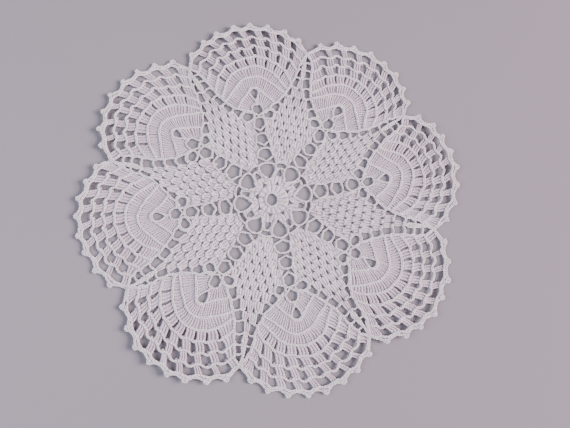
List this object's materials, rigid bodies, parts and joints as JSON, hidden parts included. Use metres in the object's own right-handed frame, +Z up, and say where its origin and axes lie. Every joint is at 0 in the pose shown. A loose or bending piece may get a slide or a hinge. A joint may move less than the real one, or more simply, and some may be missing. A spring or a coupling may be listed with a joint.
{
  "type": "round crocheted lace table mat",
  "caption": "Round white crocheted lace table mat lying flat, with a star in the middle, fans around it, diamonds of small shells between them and a picot edge.",
  "frame": {"origin": "middle of the mat's box, on the surface it lies on", "axes": "+Z up out of the face of the mat, +Y along the line of the first fan, +X to the right of it"},
  "size_m": [0.2584, 0.2576, 0.0018],
  "materials": {
    "white_cotton": "matt mercerised crochet cotton"
  },
  "bodies": {
    "root": {"lace_mat": "white_cotton"}
  },
  "joints": []
}
